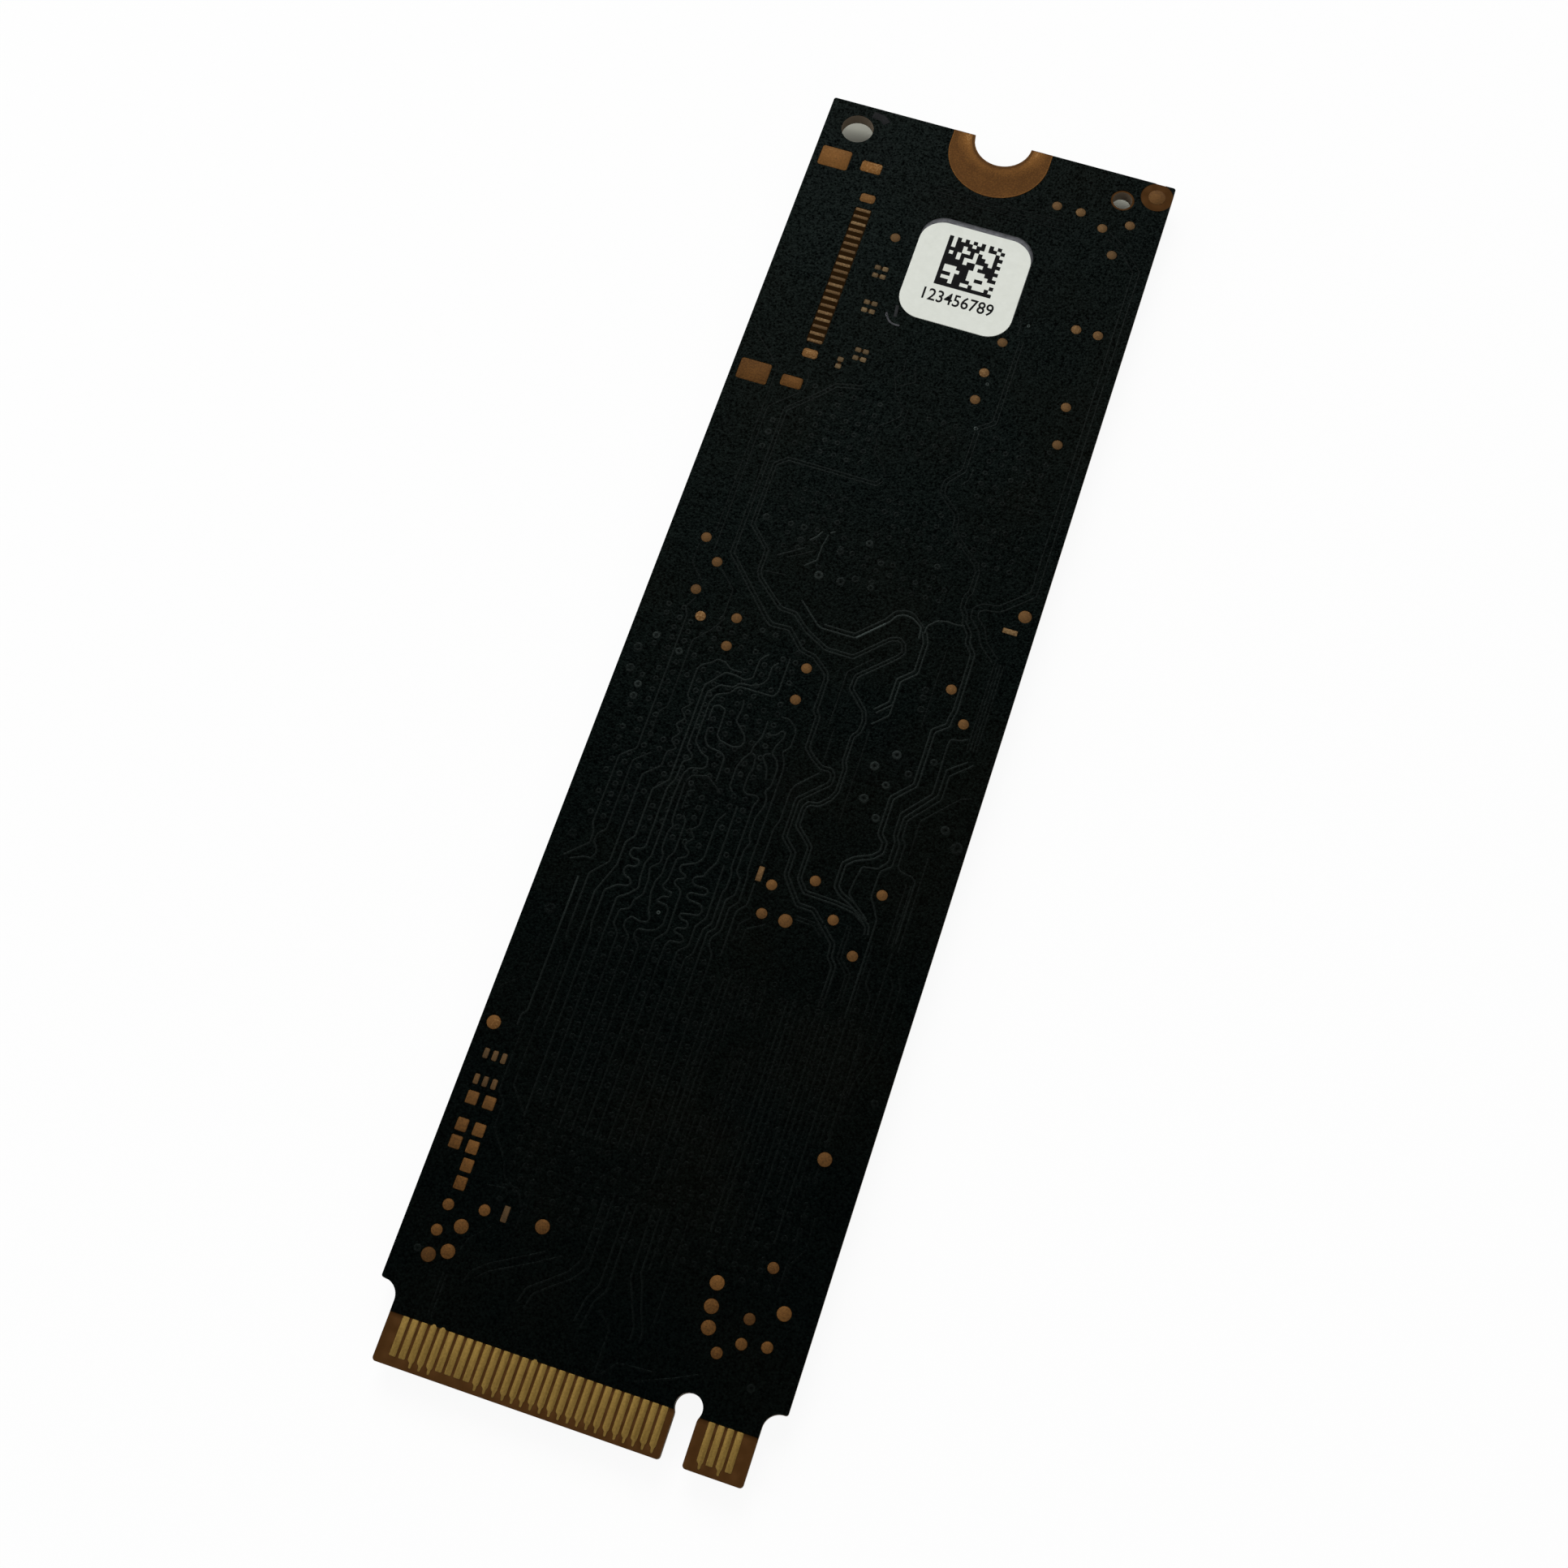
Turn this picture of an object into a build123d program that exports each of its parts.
from build123d import *
import os

# Single-sided solid-state drive card, 22 mm by 80 mm, with an M-key edge connector.
# X runs across the card and Y along it, from the connector edge to the screw end.
# Z points up out of the bare side. The chips hang below the card, and Z = 0 is the
# plane of the chip tops, on which the card rests.

# Card
board_width = 22.0
board_length = 80.0
laminate_thickness = 0.73
copper_thickness = 0.035
plating_thickness = 0.03
corner_rounding = 0.15

# Connector tongue: shoulders beside it, and the key slot, from the tongue's right edge
shoulder_width = 1.075
shoulder_height = 4.0
shoulder_radius = 0.9
tongue_rounding = 0.2
key_inset = 3.8
key_width = 1.2
key_bulb_diameter = 1.45
key_bulb_height = 2.85
key_blend_radius = 0.5

# Contact fingers: the margins run from the tongue's sides to the outermost finger's middle
contact_pitch = 0.5
contact_width = 0.35
contact_length = 2.05
contact_edge_gap = 0.5
contact_tail_width = 0.16
contact_tail_length = 0.3
contact_key_gap = 0.3
back_contact_margin = 0.925
front_contact_margin = 0.675
back_far_contacts = 4
front_far_contacts = 5
near_contacts_without_tail = (0, 1, 5, 6, 7, 8)
far_contacts_without_tail = (0, 2)

# Screw notch and its land, measured from the screw end
notch_radius = 1.8
notch_offset = 0.05
land_radius = 3.17
land_inset = 0.9

# Tooling holes and fiducial, measured from the side edge and the screw end
hole_end_inset = 1.8
large_hole_diameter = 2.0
large_hole_side_inset = 2.07
small_hole_diameter = 1.2
small_hole_side_inset = 2.9
fiducial_diameter = 1.05
fiducial_side_inset = 0.95
fiducial_end_inset = 0.95

# Round test points, drawn with this many sides
small_test_pad_diameter = 0.68
large_test_pad_diameter = 0.84
test_pad_sides = 16

# Unfitted connector at the screw end, measured from the left edge and the screw end
debug_side_inset = 4.2
debug_first_inset = 7.35
debug_pitch = 0.505
debug_count = 20
debug_pad_length = 1.0
debug_pad_width = 0.28
debug_end_pad_width = 0.68
debug_end_pad_gap = 0.42
anchor_spacing = 15.75
anchor_first_inset = 4.25
outer_anchor_length = 1.98
outer_anchor_width = 1.5
outer_anchor_side_inset = 1.38
inner_anchor_length = 1.38
inner_anchor_width = 0.85
inner_anchor_side_inset = 3.74

# Small two-by-two land groups
jumper_land_length = 0.36
jumper_land_width = 0.32
jumper_column_pitch = 0.48
jumper_row_pitch = 0.56

# Lands of unfitted chips beside the left edge
six_land_length = 0.62
six_land_width = 0.34
six_land_pitch = 0.5
six_land_row_pitch = 1.45
six_land_side_inset = 1.47
six_land_end_inset = 15.83
chip_land_length = 0.68
chip_land_width = 0.76
chip_land_pitch = 0.96
bar_land_length = 0.9
bar_land_width = 0.36

# Sticker on the bare side, measured from the card's centreline and the screw end
label_width = 7.0
label_length = 7.1
label_thickness = 0.1
label_corner_radius = 1.5
label_turn = 0.5
label_side_offset = 0.55
label_inset = 10.0

# Chip packages on the component side
package_height = 1.1
substrate_thickness = 0.16
ball_height = 0.22
index_dot_diameter = 0.9
index_dot_depth = 0.06
index_dot_inset = 1.2

flash_width = 18.0
flash_length = 12.0
flash_side_gap = 1.0
flash_end_inset = 55.5
flash_ball_size = 0.42
flash_ball_pitch = 1.0
flash_bank_columns = 6
flash_bank_rows = 11
flash_bank_spacing = 11.0

controller_size = 11.0
controller_side_gap = 2.0
controller_end_inset = 37.2
controller_ball_size = 0.36
controller_ball_pitch = 0.8
controller_ball_rows = 13
controller_ball_rings = 2
controller_core_rows = 4

# Leaded chips
lead_thickness = 0.05
lead_length = 0.4
lead_width = 0.25
lead_pitch = 0.5
power_chip_size = 4.0
power_chip_height = 0.75
power_chip_end_inset = 37.2
power_chip_leads_per_side = 6
load_switch_size = 2.0
load_switch_height = 0.7
load_switch_side_inset = 3.0
load_switch_end_inset = 13.0
load_switch_leads_per_side = 3

# Two-ended chips: length, width, height and the width of each metal end
inductor_length = 2.0
inductor_width = 1.6
inductor_height = 1.0
inductor_band = 0.4
bulk_length = 1.6
bulk_width = 0.8
bulk_height = 0.8
bulk_band = 0.35
decoupling_length = 1.0
decoupling_width = 0.5
decoupling_height = 0.5
decoupling_band = 0.25
coupling_length = 0.6
coupling_width = 0.3
coupling_height = 0.3
coupling_band = 0.15
resistor_length = 1.0
resistor_width = 0.5
resistor_height = 0.35
resistor_band = 0.22

# Rows of two-ended chips
inductor_count = 3
inductor_pitch = 2.3
inductor_gap = 1.4
bulk_count = 4
bulk_pitch = 1.4
bulk_gap = 0.9
flash_row_count = 6
flash_row_pitch = 2.4
flash_row_gap = 0.9
controller_row_count = 6
controller_row_pitch = 1.7
controller_row_gap = 0.9
lane_count = 4
lane_pitch = 3.0
lane_pair_pitch = 0.6
lane_end_inset = 7.2
lane_side_offset = -1.0
resistor_count = 4
resistor_pitch = 2.2
resistor_side_inset = 1.0

# Clock crystal
crystal_length = 2.0
crystal_width = 1.6
crystal_base_height = 0.35
crystal_lid_height = 0.15
crystal_lid_margin = 0.12
crystal_gap = 0.8

# Heights and edges that follow from the sizes above
front_z = package_height
back_z = front_z + laminate_thickness
connector_y = -board_length / 2
screw_y = board_length / 2

tongue_half_width = board_width / 2 - shoulder_width
key_centre = tongue_half_width - key_inset

LEFT = -1
RIGHT = 1
CONNECTOR_END = -1
SCREW_END = 1

# Places of small lands, in steps of one grid: from the side edge, then from the end edge
placement_grid = 0.05
small_test_places = {
    (RIGHT, SCREW_END): (
        (132, 68), (102, 68), (71, 82), (40, 68), (50, 115), (63, 228),
        (36, 228), (142, 272), (151, 318), (151, 356), (46, 333), (42, 384),
    ),
    (RIGHT, CONNECTOR_END): (
        (71, 882), (46, 846), (73, 628), (147, 621), (191, 602), (115, 585),
        (191, 568), (83, 553), (60, 214), (88, 116), (67, 158), (67, 132),
        (41, 137),
    ),
    (LEFT, SCREW_END): ((133, 172),),
    (LEFT, CONNECTOR_END): (
        (45, 976), (67, 950), (55, 910), (111, 890), (71, 880), (111, 854),
        (206, 856), (206, 816), (77, 176), (39, 170), (37, 142),
    ),
}
large_test_places = {
    (RIGHT, CONNECTOR_END): (
        (17, 993), (164, 568), (44, 336), (110, 182), (108, 158), (104, 137),
        (35, 174),
    ),
    (LEFT, CONNECTOR_END): (
        (15, 365), (140, 179), (60, 153), (56, 125), (38, 116),
    ),
}
jumper_group_places = ((130, 224), (132, 274), (142, 340))
jumper_pair_place = (121, 358)
chip_land_places = ((32, 282), (32, 252), (32, 233))
upright_chip_place = (43, 204)
flat_bar_place = (28, 970)
right_bar_place = (207, 610)
left_bar_place = (99, 179)


def corner_point(side, end, across, along):
    """Point measured inwards from a side edge and from an end edge of the card."""
    return side * (board_width / 2 - across), end * (board_length / 2 - along)


def grid_point(side, end, place):
    """Point measured inwards from two edges, in steps of the placement grid."""
    across, along = place
    return corner_point(side, end, across * placement_grid, along * placement_grid)


def spread(count, pitch):
    """Evenly spaced offsets about zero."""
    return [(index - (count - 1) / 2) * pitch for index in range(count)]


def back_piece(profile, x, y, height):
    """Flat piece that stands on the bare face."""
    return extrude(Pos(x, y, back_z) * profile, height)


def front_piece(profile, x, y, height, gap=0.0):
    """Flat piece that hangs below the component face, a gap away from it."""
    return extrude(Pos(x, y, front_z - gap - height) * profile, height)


def save(node, pieces):
    """Write the solids of one named piece, or of a group of like pieces."""
    solids = [solid for piece in pieces for solid in piece.solids()]
    export_step(Compound(solids), f"parts/{node}.step")


def key_slot():
    """Slot between the two contact groups, ending in a wider round relief."""
    mouth = Pos(key_centre, connector_y) * Rectangle(key_width, 2 * key_bulb_height)
    bulb = Pos(key_centre, connector_y + key_bulb_height) * Circle(key_bulb_diameter / 2)
    slot = mouth + bulb
    return fillet(slot.vertices().group_by(Axis.Y)[-1], key_blend_radius)


def shoulder_cut(side):
    """Corner cut beside the tongue, with a round inner corner."""
    cut = Rectangle(shoulder_width, shoulder_height)
    cut = Pos(*corner_point(side, CONNECTOR_END, shoulder_width / 2, shoulder_height / 2)) * cut
    inner = cut.vertices().group_by(Axis.Y)[-1].sort_by(Axis.X)[0 if side == RIGHT else -1]
    return fillet(inner, shoulder_radius)


def circuit_board():
    """Laminate with its tongue, key slot, screw notch and tooling holes."""
    outline = Rectangle(board_width, board_length)
    outline -= shoulder_cut(LEFT)
    outline -= shoulder_cut(RIGHT)
    outer = [v for v in outline.vertices() if abs(abs(v.X) - board_width / 2) < corner_rounding / 10]
    outline = fillet(outer, corner_rounding)
    outline -= key_slot()
    outline = fillet(outline.vertices().group_by(Axis.Y)[0], tongue_rounding)
    outline -= Pos(0, screw_y + notch_offset) * Circle(notch_radius + plating_thickness)
    large_x, hole_y = corner_point(LEFT, SCREW_END, large_hole_side_inset, hole_end_inset)
    small_x, hole_y = corner_point(RIGHT, SCREW_END, small_hole_side_inset, hole_end_inset)
    outline -= Pos(large_x, hole_y) * Circle(large_hole_diameter / 2)
    outline -= Pos(small_x, hole_y) * Circle(small_hole_diameter / 2)
    return extrude(Pos(0, 0, front_z) * outline, laminate_thickness)


def contact_profile(tailed):
    """Finger seen from above, its lower end square or drawn out to a narrow tail."""
    half = contact_width / 2
    top = contact_edge_gap + contact_length
    points = [(half, contact_edge_gap), (half, top), (-half, top), (-half, contact_edge_gap)]
    if tailed:
        tail = contact_tail_width / 2
        tip = contact_edge_gap - contact_tail_length
        points += [(-tail, tip), (tail, tip)]
    return make_face(Polyline(*points, close=True))


def near_contact_places(margin):
    """Finger middles from the tongue's left side up to the key slot."""
    first = margin - tongue_half_width
    last = key_centre - key_width / 2 - contact_key_gap - contact_width / 2
    return [first + index * contact_pitch for index in range(int((last - first) / contact_pitch) + 1)]


def far_contact_places(margin, count):
    """Finger middles from the tongue's right side back towards the key slot."""
    return [tongue_half_width - margin - index * contact_pitch for index in range(count)]


def back_contacts():
    """Fingers of the bare side, most of them with a tail towards the edge."""
    near = near_contact_places(back_contact_margin)
    far = far_contact_places(back_contact_margin, back_far_contacts)
    fingers = []
    for places, without_tail in ((near, near_contacts_without_tail), (far, far_contacts_without_tail)):
        for number, x in enumerate(places):
            profile = contact_profile(number not in without_tail)
            fingers.append(back_piece(profile, x, connector_y, copper_thickness))
    return fingers


def front_contacts():
    """Fingers of the component side, half a pitch out of step with the bare side's."""
    places = near_contact_places(front_contact_margin)
    places += far_contact_places(front_contact_margin, front_far_contacts)
    return [front_piece(contact_profile(False), x, connector_y, copper_thickness) for x in places]


def screw_land():
    """Plated land round the screw notch: a land on each face, joined through the notch."""
    card = Rectangle(board_width, board_length)
    notch = Pos(0, screw_y + notch_offset) * Circle(notch_radius)
    land = Pos(0, screw_y - land_inset) * Circle(land_radius)
    land += Pos(0, screw_y - land_inset / 2) * Rectangle(2 * land_radius, land_inset)
    land = (land & card) - notch
    barrel = Pos(0, screw_y + notch_offset) * Circle(notch_radius + plating_thickness)
    barrel = (barrel & card) - notch
    plated = back_piece(land, 0, 0, copper_thickness)
    plated += front_piece(land, 0, 0, copper_thickness)
    plated += extrude(Pos(0, 0, front_z) * barrel, laminate_thickness)
    return plated


def test_pads():
    """Round test points of two sizes."""
    pads = []
    sizes = (
        (small_test_places, small_test_pad_diameter),
        (large_test_places, large_test_pad_diameter),
    )
    for places, diameter in sizes:
        pad = RegularPolygon(diameter / 2, test_pad_sides)
        for (side, end), steps in places.items():
            for place in steps:
                x, y = grid_point(side, end, place)
                pads.append(back_piece(pad, x, y, copper_thickness))
    return pads


def fiducial_dot():
    """Round dot in the corner, beside the screw end."""
    x, y = corner_point(RIGHT, SCREW_END, fiducial_side_inset, fiducial_end_inset)
    return back_piece(Circle(fiducial_diameter / 2), x, y, copper_thickness)


def debug_signal_lands():
    """Row of thin lands with a wider land at each end, for a connector that isn't fitted."""
    thin = Rectangle(debug_pad_length, debug_pad_width)
    wide = Rectangle(debug_pad_length, debug_end_pad_width)
    x, first_y = corner_point(LEFT, SCREW_END, debug_side_inset, debug_first_inset)
    last_y = first_y - (debug_count - 1) * debug_pitch
    end_step = debug_pad_width / 2 + debug_end_pad_gap + debug_end_pad_width / 2
    rows = [first_y - index * debug_pitch for index in range(debug_count)]
    lands = [back_piece(thin, x, y, copper_thickness) for y in rows]
    lands += [back_piece(wide, x, y, copper_thickness) for y in (first_y + end_step, last_y - end_step)]
    return lands


def debug_anchor_lands():
    """Large and small anchor lands at both ends of the unfitted connector."""
    outer = Rectangle(outer_anchor_length, outer_anchor_width)
    inner = Rectangle(inner_anchor_length, inner_anchor_width)
    lands = []
    for inset in (anchor_first_inset, anchor_first_inset + anchor_spacing):
        outer_x, y = corner_point(LEFT, SCREW_END, outer_anchor_side_inset, inset)
        inner_x, y = corner_point(LEFT, SCREW_END, inner_anchor_side_inset, inset)
        lands.append(back_piece(outer, outer_x, y, copper_thickness))
        lands.append(back_piece(inner, inner_x, y, copper_thickness))
    return lands


def jumper_lands():
    """Three two-by-two groups of small lands, and one upright pair."""
    land = Rectangle(jumper_land_length, jumper_land_width)
    lands = []
    for place in jumper_group_places:
        x, y = grid_point(LEFT, SCREW_END, place)
        for column in spread(2, jumper_column_pitch):
            for row in spread(2, jumper_row_pitch):
                lands.append(back_piece(land, x + column, y + row, copper_thickness))
    x, y = grid_point(LEFT, SCREW_END, jumper_pair_place)
    lands += [back_piece(land, x, y + row, copper_thickness) for row in spread(2, jumper_column_pitch)]
    return lands


def passive_lands():
    """Lands of unfitted chips beside the left edge."""
    lands = []
    six_land = Rectangle(six_land_width, six_land_length)
    x, y = corner_point(LEFT, CONNECTOR_END, six_land_side_inset, six_land_end_inset)
    for column in spread(3, six_land_pitch):
        for row in spread(2, six_land_row_pitch):
            lands.append(back_piece(six_land, x + column, y + row, copper_thickness))
    chip_land = Rectangle(chip_land_length, chip_land_width)
    for place in chip_land_places:
        x, y = grid_point(LEFT, CONNECTOR_END, place)
        for column in spread(2, chip_land_pitch):
            lands.append(back_piece(chip_land, x + column, y, copper_thickness))
    x, y = grid_point(LEFT, CONNECTOR_END, upright_chip_place)
    for row in spread(2, chip_land_pitch):
        lands.append(back_piece(chip_land, x, y + row, copper_thickness))
    return lands


def bar_lands():
    """Single bar lands, one flat and two upright."""
    flat = Rectangle(bar_land_length, bar_land_width)
    upright = Rectangle(bar_land_width, bar_land_length)
    places = (
        (flat, grid_point(RIGHT, CONNECTOR_END, flat_bar_place)),
        (upright, grid_point(RIGHT, CONNECTOR_END, right_bar_place)),
        (upright, grid_point(LEFT, CONNECTOR_END, left_bar_place)),
    )
    return [back_piece(profile, x, y, copper_thickness) for profile, (x, y) in places]


def label():
    """Square sticker with round corners, stuck on a little askew."""
    profile = Rot(0, 0, label_turn) * RectangleRounded(label_width, label_length, label_corner_radius)
    return back_piece(profile, label_side_offset, screw_y - label_inset, label_thickness)


def ball_posts(places, size, x, y):
    """Soldered balls, squat posts between the card and a package."""
    post = Rectangle(size, size)
    return [front_piece(post, x + column, y + row, ball_height) for column, row in places]


def package_body(width, length, x, y):
    """Moulded block and the thin substrate that carries it, above the balls."""
    profile = Rectangle(width, length)
    substrate = front_piece(profile, x, y, substrate_thickness, ball_height)
    mould_top = ball_height + substrate_thickness
    mould = front_piece(profile, x, y, package_height - mould_top, mould_top)
    dot_x = x - width / 2 + index_dot_inset
    dot_y = y + length / 2 - index_dot_inset
    dot = Pos(dot_x, dot_y, 0) * Circle(index_dot_diameter / 2)
    mould -= extrude(dot, index_dot_depth)
    return mould, substrate


def flash_ball_places():
    """Two banks of balls, left and right of the package's middle."""
    columns = [
        bank + column
        for bank in spread(2, flash_bank_spacing)
        for column in spread(flash_bank_columns, flash_ball_pitch)
    ]
    return [(column, row) for column in columns for row in spread(flash_bank_rows, flash_ball_pitch)]


def controller_ball_places():
    """Square rings of balls round the edge, and a block in the middle."""
    offsets = spread(controller_ball_rows, controller_ball_pitch)
    inner = offsets[controller_ball_rings:-controller_ball_rings]
    rings = [(u, v) for u in offsets for v in offsets if u not in inner or v not in inner]
    core = spread(controller_core_rows, controller_ball_pitch)
    return rings + [(u, v) for u in core for v in core]


def leaded_chip(size, height, leads_per_side, quarter_turns, x, y):
    """Flat moulded chip, and the leads under the edges that the quarter turns reach."""
    body = front_piece(Rectangle(size, size), x, y, height, lead_thickness)
    leads = []
    for turn in quarter_turns:
        for offset in spread(leads_per_side, lead_pitch):
            lead = Pos((size - lead_length) / 2, offset) * Rectangle(lead_length, lead_width)
            leads.append(front_piece(Rot(0, 0, 90 * turn) * lead, x, y, lead_thickness))
    return body, leads


def two_ended_chips(length, width, height, band, places):
    """Chips with a metal end at each end, at (x, y, upright) places."""
    bodies = []
    ends = []
    for x, y, upright in places:
        turn = Rot(0, 0, 90 if upright else 0)
        bodies.append(front_piece(turn * Rectangle(length - 2 * band, width), x, y, height))
        for side in (LEFT, RIGHT):
            end = Pos(side * (length - band) / 2, 0) * Rectangle(band, width)
            ends.append(front_piece(turn * end, x, y, height))
    return bodies, ends


os.makedirs("parts", exist_ok=True)

save("circuit_board", [circuit_board()])
save("back_contacts", back_contacts())
save("front_contacts", front_contacts())
save("screw_land", [screw_land()])
save("test_pads", test_pads())
save("fiducial_dot", [fiducial_dot()])
save("debug_signal_lands", debug_signal_lands())
save("debug_anchor_lands", debug_anchor_lands())
save("jumper_lands", jumper_lands())
save("passive_lands", passive_lands())
save("bar_lands", bar_lands())
save("label", [label()])

flash_x = board_width / 2 - flash_side_gap - flash_width / 2
flash_y = connector_y + flash_end_inset
flash_mould, flash_substrate = package_body(flash_width, flash_length, flash_x, flash_y)
save("flash_mould", [flash_mould])
save("flash_substrate", [flash_substrate])
save("flash_balls", ball_posts(flash_ball_places(), flash_ball_size, flash_x, flash_y))

controller_x = -board_width / 2 + controller_side_gap + controller_size / 2
controller_y = connector_y + controller_end_inset
controller_mould, controller_substrate = package_body(
    controller_size, controller_size, controller_x, controller_y
)
save("controller_mould", [controller_mould])
save("controller_substrate", [controller_substrate])
save("controller_balls", ball_posts(
    controller_ball_places(), controller_ball_size, controller_x, controller_y
))

power_x = (controller_x + controller_size / 2 + board_width / 2) / 2
power_y = connector_y + power_chip_end_inset
power_chip, power_chip_leads = leaded_chip(
    power_chip_size, power_chip_height, power_chip_leads_per_side, range(4), power_x, power_y
)
save("power_chip", [power_chip])
save("power_chip_leads", power_chip_leads)

switch_x, switch_y = corner_point(RIGHT, CONNECTOR_END, load_switch_side_inset, load_switch_end_inset)
load_switch, load_switch_leads = leaded_chip(
    load_switch_size, load_switch_height, load_switch_leads_per_side, (0, 2), switch_x, switch_y
)
save("load_switch", [load_switch])
save("load_switch_leads", load_switch_leads)

inductor_y = power_y + power_chip_size / 2 + inductor_gap + inductor_length / 2
inductor_places = [(power_x + step, inductor_y, True) for step in spread(inductor_count, inductor_pitch)]
cores, ends = two_ended_chips(
    inductor_length, inductor_width, inductor_height, inductor_band, inductor_places
)
save("inductor_cores", cores)
save("inductor_ends", ends)

bulk_y = power_y - power_chip_size / 2 - bulk_gap - bulk_length / 2
bulk_places = [(power_x + step, bulk_y, True) for step in spread(bulk_count, bulk_pitch)]
bulk_places.append((switch_x, switch_y + load_switch_size / 2 + bulk_gap, False))
bodies, ends = two_ended_chips(bulk_length, bulk_width, bulk_height, bulk_band, bulk_places)
save("bulk_capacitors", bodies)
save("bulk_capacitor_ends", ends)

flash_row_reach = flash_length / 2 + flash_row_gap
controller_row_reach = controller_size / 2 + controller_row_gap
decoupling_places = [
    (flash_x + step, flash_y + side * flash_row_reach, False)
    for side in (LEFT, RIGHT)
    for step in spread(flash_row_count, flash_row_pitch)
]
decoupling_places += [
    (controller_x + step, controller_y - controller_row_reach, False)
    for step in spread(controller_row_count, controller_row_pitch)
]
bodies, ends = two_ended_chips(
    decoupling_length, decoupling_width, decoupling_height, decoupling_band, decoupling_places
)
save("decoupling_capacitors", bodies)
save("decoupling_capacitor_ends", ends)

lane_y = connector_y + lane_end_inset
coupling_places = [
    (lane_side_offset + lane + pair, lane_y, True)
    for lane in spread(lane_count, lane_pitch)
    for pair in spread(2, lane_pair_pitch)
]
bodies, ends = two_ended_chips(
    coupling_length, coupling_width, coupling_height, coupling_band, coupling_places
)
save("coupling_capacitors", bodies)
save("coupling_capacitor_ends", ends)

resistor_x = -board_width / 2 + resistor_side_inset
resistor_places = [
    (resistor_x, controller_y + step, True) for step in spread(resistor_count, resistor_pitch)
]
bodies, ends = two_ended_chips(
    resistor_length, resistor_width, resistor_height, resistor_band, resistor_places
)
save("resistors", bodies)
save("resistor_ends", ends)

crystal_y = controller_y + controller_size / 2 + crystal_gap + crystal_width / 2
crystal_base = front_piece(
    Rectangle(crystal_length, crystal_width), controller_x, crystal_y, crystal_base_height
)
crystal_lid = front_piece(
    Rectangle(crystal_length - 2 * crystal_lid_margin, crystal_width - 2 * crystal_lid_margin),
    controller_x,
    crystal_y,
    crystal_lid_height,
    crystal_base_height,
)
save("crystal_base", [crystal_base])
save("crystal_lid", [crystal_lid])
